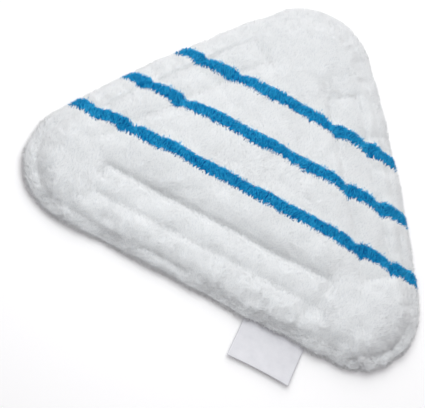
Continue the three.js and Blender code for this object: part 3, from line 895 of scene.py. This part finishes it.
sewing_thread = grained("spun_polyester_thread", "#d3d8de", "#f6f8fa", 0.3, 0.6, 0.05)
nylon_loops = grained(
    "brushed_nylon_loops", "#dfe4e9", "#fbfcfd", 0.5, 0.5, 0.05, "ShaderNodeTexNoise", "Fac"
)

# %% Knitted ground, foam and back cloth
LAYER_RINGS = 60
FOAM_BOTTOM = 3.2
BACK_THICKNESS = 0.4
BACK_SAG, MOST_SAG = 0.35, 1.0
STITCH_DIMPLE = 0.3


def flat_of(points):
    """The flat coordinates that a weave follows, from points in millimetres: their plan."""
    return np.column_stack([points[:, :2], np.zeros(len(points))]) * MM


coarse = Grid(LAYER_RINGS)
coarse_move = sewn_shape(coarse)
ground = shaped_layer(coarse, "ground", coarse_move)
ground_inside = shaped_layer(coarse, "ground_inside", coarse_move)
points, faces = closed_between(ground, ground_inside, coarse.faces)
weave_map = {"flat": flat_of(points)}
ground_piece = make_piece("face_ground_knit", points, faces, ground_knit, attributes=weave_map)
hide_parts("face_ground")

calm = (1 - smoothstep(0.2, 0.35, coarse.knot))[:, None]
foam_top = coarse.layer("foam_top") + coarse_move * calm
foam_bottom = np.column_stack([foam_top[:, :2], np.full(len(foam_top), FOAM_BOTTOM)])
foam_top[:, 2] = np.maximum(foam_top[:, 2], FOAM_BOTTOM + 0.05)
points, faces = closed_between(foam_top, foam_bottom, coarse.faces)
foam_piece = make_piece("foam_sheet", points, faces, open_foam)
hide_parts("foam_core")

back_top = coarse.layer("back_top")
from_hem = np.linalg.norm(back_top[:, :2] - coarse.point, axis=1) - HEM_INSET
from_tapes = np.min([from_stitch(tape, back_top[:, :2]) for tape in tapes.values()], axis=0)
off_hem = smoothstep(2, 8, from_hem) * (coarse.growth >= 1) + (coarse.growth < 1)
slack = BACK_SAG * (1 + waves(back_top[:, 0], back_top[:, 1], 34, 41))
sag = slack * smoothstep(2, 12, from_tapes) * off_hem
back_top[:, 2] += STITCH_DIMPLE / (1 + (from_hem / 1.4) ** 2) - np.clip(sag, 0, MOST_SAG)
back_bottom = back_top - [0, 0, BACK_THICKNESS]
points, faces = closed_between(back_top, back_bottom, coarse.faces)
weave_map = {"flat": flat_of(points)}
back_piece = make_piece("back_cloth_weave", points, faces, back_weave, attributes=weave_map)
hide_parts("back_cloth")

# %% [markdown]
# ## Loop tapes
# The pad hangs on the mop's hooks by three strips of loop tape: a woven strip whose underside is
# a pile of small nylon loops. A hook needs a real loop to catch, so each loop is a small arch of
# yarn. All the arches of a tape are computed at once, as tubes with three sides.

# %% Loop tapes
STRIP_TOP = 2.05
STRIP_BOTTOM = 0.95
LOOP_SPACING = 1.2
LOOP_WIDTH = 1.1
LOOP_DROP = 0.86
LOOP_MARGIN = 1.0  # no loop stands this near to the strip's edge
STITCH_GAP = 0.8  # nor this near to its stitches
YARN_RADIUS = 0.13
STRIP_STEPS = (1.6, 1.1)  # between the strip's points, along it and across it
EDGE_PLACES = np.array([0, 0.25, 0.7, 1.4])  # closer points at its two edges


def tubes(centres, radii, across, sides):
    """Many closed tubes at once. Ring k stands square to its line at centre k:
    centre + radius (across cos a + (along x across) sin a), and a flat face closes each end."""
    along = unit(np.gradient(centres, axis=1))
    first = unit(across)[:, None, None]
    second = np.cross(along, unit(across)[:, None])[:, :, None]
    turn = np.linspace(0, 2 * np.pi, sides, endpoint=False)[:, None]
    ring = first * np.cos(turn) + second * np.sin(turn)
    points = centres[:, :, None] + np.asarray(radii)[:, None, None] * ring
    count, sections = centres.shape[:2]
    corner = np.arange(sides)
    after = (corner + 1) % sides
    step = sides * np.arange(sections - 1)[:, None]
    quads = [step + corner, step + after, step + sides + after, step + sides + corner]
    quads = np.stack(quads, axis=-1)
    ends = np.stack([corner[::-1], (sections - 1) * sides + corner])
    start = sections * sides * np.arange(count)[:, None, None]
    faces = [(start + quads.reshape(-1, 4)).reshape(-1, 4), (start + ends).reshape(-1, sides)]
    return points.reshape(-1, 3), faces


def out_of_tape(tape, place):
    """Points of the plan from places along and across a tape."""
    c, s = np.cos(tape["turn"]), np.sin(tape["turn"])
    return tape["middle"] + place @ np.array([[c, s], [-s, c]])


def strip_steps(half, step):
    """Places from one edge of a strip to the other, closer together at its two edges."""
    count = max(round(2 * half / step), 4)
    inner = np.linspace(-half + EDGE_PLACES[-1], half - EDGE_PLACES[-1], count)
    return np.r_[-half + EDGE_PLACES[:-1], inner, half - EDGE_PLACES[-2::-1]]


def strip(tape):
    """A woven strip with thin edges: half its thickness times the root of a smooth step from the
    edge, pinched by its stitches from below."""
    along, across = (strip_steps(half, step) for half, step in zip(tape["half"], STRIP_STEPS))
    place = np.stack(np.meshgrid(along, across, indexing="ij"), axis=-1).reshape(-1, 2)
    plan = out_of_tape(tape, place)
    from_edge = np.min(tape["half"] - np.abs(place), axis=1)
    thick = (STRIP_TOP - STRIP_BOTTOM) / 2 * (0.35 + 0.65 * np.sqrt(smoothstep(0, 0.9, from_edge)))
    middle = (STRIP_TOP + STRIP_BOTTOM) / 2
    pinch = STITCH_DIMPLE / (1 + (from_stitch(tape, plan) / 0.8) ** 2)
    upper = np.column_stack([plan, middle + thick])
    lower = np.column_stack([plan, middle - thick + pinch])
    points, faces = closed_between(upper, lower, grid_faces(len(along), len(across)))
    return points, faces, np.vstack([flat_of(place)] * 2)


def loops(tape):
    """Arches of yarn under a strip: half an ellipse each, turned at random, off the stitches."""
    half = tape["half"] - LOOP_MARGIN
    u, v = np.meshgrid(*(np.arange(-size, size, LOOP_SPACING) for size in half))
    place = np.column_stack([u.ravel(), v.ravel()]) + rng.uniform(-0.4, 0.4, (u.size, 2))
    plan = out_of_tape(tape, place)
    plan = plan[np.abs(from_stitch(tape, plan)) > STITCH_GAP]
    turn = rng.uniform(0, 2 * np.pi, len(plan))
    heading = np.column_stack([np.cos(turn), np.sin(turn), np.zeros(len(plan))])
    sideways = np.column_stack([-np.sin(turn), np.cos(turn), np.zeros(len(plan))])
    step = np.linspace(0, np.pi, 5)
    reach = LOOP_WIDTH / 2 * rng.uniform(0.8, 1.25, len(plan))
    drop = LOOP_DROP * rng.uniform(0.8, 1.0, len(plan))
    centres = reach[:, None, None] * np.cos(step)[:, None] * heading[:, None]
    slouch = 0.25 * rng.normal(size=(len(plan), 1, 1))
    centres = centres + slouch * np.sin(step)[:, None] * sideways[:, None]
    centres[..., :2] += plan[:, None]
    centres[..., 2] = STRIP_BOTTOM + 0.08 - drop[:, None] * np.sin(step)
    return tubes(centres, np.full(5, YARN_RADIUS), sideways, 3)


for side, tape in tapes.items():
    points, faces, flat = strip(tape)
    weave_map = {"flat": flat}
    strip_piece = make_piece(f"loop_tape_{side}_strip", points, faces, tape_weave, attributes=weave_map)
    points, faces = loops(tape)
    loop_piece = make_piece(f"loop_tape_{side}_loops", points, faces, nylon_loops)
    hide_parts(f"loop_tape_{side}")
    print(side, "tape has", len(faces[1]) // 2, "loops")

# %% [markdown]
# ## Stitches
# A lockstitch shows as a row of short dashes on each side of the cloth, because the two threads
# cross inside it. Each dash is a small tube, bent so that its ends dive into the cloth. One
# function lays them along a closed line, and the lines come from the hem and from the tapes.

# %% Stitches
STITCH_PITCH = 3.0
STITCH_RADIUS = 0.25
STITCH_RISE = 0.3
SEAM_INSET = 5.8
SEAM_HEIGHT = 3.7
SUNK = 0.5  # the needle thread lies this deep in the plush
HEM_BOBBIN_HEIGHT = 2.3
TAPE_BOBBIN_HEIGHT = STRIP_BOTTOM + 0.15


def stitches(line, side):
    """One dash for each stitch of a closed line. side is 1 for dashes that stand up from the
    line and -1 for dashes below it. A dash rises by the rise times sin(pi t), and its radius is
    the stitch's times 0.45 + 0.55 sqrt(sin(pi t)), so it thins out at its ends."""
    closed = np.vstack([line, line[:1]])
    length = along_line(closed)
    count = round(length[-1] / STITCH_PITCH)
    t = np.linspace(0, 1, 6)
    share = (np.arange(count)[:, None] + 0.05 + 0.9 * t) * length[-1] / count
    centres = read_line(share, length, closed)
    centres[..., 2] += side * (STITCH_RISE * np.sin(np.pi * t) - STITCH_RISE / 2)
    along = centres[:, -1] - centres[:, 0]
    radii = STITCH_RADIUS * (0.45 + 0.55 * np.sqrt(np.sin(np.pi * t).clip(0)))
    return tubes(centres, radii, np.cross([0.0, 0.0, 1.0], along), 5)


def ring_line(inset, height):
    """A closed line all round the pad, at an inset and a height."""
    point, normal = on_outline(np.linspace(0, 1, 700, endpoint=False))
    plan = point - inset * normal
    return np.column_stack([plan, np.broadcast_to(height, len(plan))])


def tape_line(tape):
    """The plan of a tape's stitch line: a quarter circle at each corner, points 1 mm apart."""
    core = tape["half"] - TAPE_MARGIN - STITCH_CORNER
    turn = np.linspace(0, np.pi / 2, 9) + np.pi / 2 * np.arange(4)[:, None]
    signs = np.array([[1, 1], [-1, 1], [-1, -1], [1, -1]])[:, None]
    line = signs * core + STITCH_CORNER * np.stack([np.cos(turn), np.sin(turn)], axis=-1)
    line = out_of_tape(tape, line.reshape(-1, 2))
    closed = np.vstack([line, line[:1]])
    length = along_line(closed)
    return read_line(np.arange(0, length[-1] - 0.5, 1.0), length, closed)


def height_at(surface, plan):
    """Height of a surface at points of the plan: its own points' mean, by 1 / distance^6."""
    low, high = plan.min(0) - 3, plan.max(0) + 3
    near = surface[np.all((surface[:, :2] > low) & (surface[:, :2] < high), axis=1)]
    gap = (near[:, 0] - plan[:, :1]) ** 2 + (near[:, 1] - plan[:, 1:]) ** 2
    weight = 1 / (gap + 0.3) ** 3
    return weight @ near[:, 2] / weight.sum(1)


def sew(name, node, line, side):
    """The stitches of one thread, which stand for its CAD solid."""
    points, faces = stitches(line, side)
    piece = make_piece(name, points, faces, sewing_thread)
    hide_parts(node)
    return len(faces[1]) // 2


pile_top = pile[fine.knot < 0.35]
hem_height = height_at(pile_top, ring_line(HEM_INSET, 0)[:, :2]) - SUNK
seam = ring_line(SEAM_INSET, SEAM_HEIGHT)
sewn = sew("hem_needle_stitches", "hem_needle_thread", ring_line(HEM_INSET, hem_height), 1)
sewn += sew("hem_bobbin_stitches", "hem_bobbin_thread", ring_line(HEM_INSET, HEM_BOBBIN_HEIGHT), -1)
sewn += sew("edge_seam_stitches", "edge_seam_thread", seam, 1)
for side, tape in tapes.items():
    plan = tape_line(tape)
    on_plush = np.column_stack([plan, height_at(pile_top, plan) - SUNK])
    under_strip = np.column_stack([plan, np.full(len(plan), TAPE_BOBBIN_HEIGHT)])
    sewn += sew(f"tape_needle_stitches_{side}", f"tape_needle_thread_{side}", on_plush, 1)
    sewn += sew(f"tape_bobbin_stitches_{side}", f"tape_bobbin_thread_{side}", under_strip, -1)
print(sewn, "stitches")

# %% [markdown]
# ## The pull tab
# The tab is a short satin ribbon, folded in half and caught in the edge seam by both ends, so it
# can be gripped to peel the pad off. It is one piece, made of its own two layers and riding on
# no body.

# %% Pull tab
RIBBON_THICKNESS = 0.26
FOLD_RADIUS = 0.32
LEG_ROWS = 27
FOLD_ROWS = 10
RIBBON_COLUMNS = 40
tab_low, tab_high = node_box("pull_tab")


def ribbon(offset):
    """The ribbon's surface, offset from its middle: along it runs out in the lower leg, round a
    half circle and back in the upper leg; across it lies flat. Towards the fold it curls up by
    1.5 out^2, more at its two edges, and its end bows by 0.7 out^3 (1 - w^2), where out is the
    share of the way out and w runs from -1 to 1 across."""
    middle = (tab_low[2] + tab_high[2]) / 2
    start, end = tab_box[1, 1], tab_low[1] + FOLD_RADIUS + RIBBON_THICKNESS
    leg, half_turn = start - end, np.pi * FOLD_RADIUS
    along_leg = np.linspace(0, leg, LEG_ROWS)
    along_fold = np.linspace(0, half_turn, FOLD_ROWS + 2)[1:-1]
    s = np.r_[along_leg, leg + along_fold, leg + half_turn + along_leg]
    turn = np.clip((s - leg) / FOLD_RADIUS, 0, np.pi)
    back_way = np.maximum(s - leg - half_turn, 0)
    radius = FOLD_RADIUS + offset
    y = start - np.minimum(s, leg) + back_way - radius * np.sin(turn)
    z = middle - radius * np.cos(turn)
    w = np.linspace(-1, 1, RIBBON_COLUMNS)
    out = np.clip((base_y - y) / (base_y - end), 0, 1.05)[:, None]
    x = (tab_low[0] + tab_high[0]) / 2 + w * (tab_high[0] - tab_low[0]) / 2 + 0 * out
    curl = 1.5 * out**2 + 0.8 * out**2 * np.abs(w) ** 3 + 0.35 * out * np.sin(2.2 * w + 1.1)
    gap = 0.25 * out * (turn[:, None] / np.pi - 0.5) * np.cos(1.4 * w)
    bowed = 0.7 * out**3 * (1 - w**2)
    points = np.stack([x, y[:, None] + bowed, z[:, None] + curl + gap], axis=-1)
    flat = np.stack([x, s[:, None] + 0 * w, 0 * x], axis=-1) * MM
    return points.reshape(-1, 3), flat.reshape(-1, 3), 2 * leg + half_turn


outer, flat, ribbon_length = ribbon(RIBBON_THICKNESS / 2)
inner = ribbon(-RIBBON_THICKNESS / 2)[0]
ribbon_faces = grid_faces(2 * LEG_ROWS + FOLD_ROWS, RIBBON_COLUMNS)
points, faces = closed_between(outer, inner, ribbon_faces)
weave_map = {"flat": np.vstack([flat, flat])}
tab_piece = make_piece("pull_tab_ribbon", points, faces, satin_weave, body=None, attributes=weave_map)
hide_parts("pull_tab", "tab_root")
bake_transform(tab_piece)
print("ribbon is", round(ribbon_length, 1), "mm long")

# %% [markdown]
# ## Floor and light
# White plush shows its shape only by soft shadows, so the light has to come from one side. A
# large lamp behind the pad does that, a smaller one above it makes the pile bright, and a pale
# world fills the shadows. The floor is a plain sheet just below the pad.

# %% Floor and light
FLOOR_HALF = 3000
FLOOR_HEIGHT = -0.05

floor_material = new_material("pale_floor")
floor_finish = {"Base Color": linear("#fdfdfd"), "Roughness": 0.9}
floor_shader = add_node(floor_material, "ShaderNodeBsdfPrincipled", settings=floor_finish)
add_node(floor_material, "ShaderNodeOutputMaterial", {"Surface": (floor_shader, "BSDF")})
corners = np.array([(-1, -1, 0), (1, -1, 0), (1, 1, 0), (-1, 1, 0)]) * FLOOR_HALF
corners = corners + [0, 0, FLOOR_HEIGHT]
floor = make_piece("floor", corners, np.arange(4)[None], floor_material, body=None)


def area_light(name, place, size, power, colour):
    """A square soft light at a place in millimetres, turned towards the pad."""
    light = bpy.data.lights.new(name, "AREA")
    light.color = linear(colour)[:3]
    light.size = size * MM
    light.energy = power
    z = unit(np.asarray(place, float))
    x = unit(np.cross([0.0, 1.0, 0.01], z))
    put(bpy.data.objects.new(name, light), [x, np.cross(z, x), z], place)


area_light("window_light", (-500, 1500, 1300), 2200, 22, "#fffefe")
area_light("overhead_softbox", (-35, 15, 360), 320, 0.72, "#faffff")
world = bpy.data.worlds.new("studio")
world.use_nodes = True
background = world.node_tree.nodes["Background"]
background.inputs["Color"].default_value = linear("#fffbfe")
background.inputs["Strength"].default_value = 0.5
bpy.context.scene.world = world
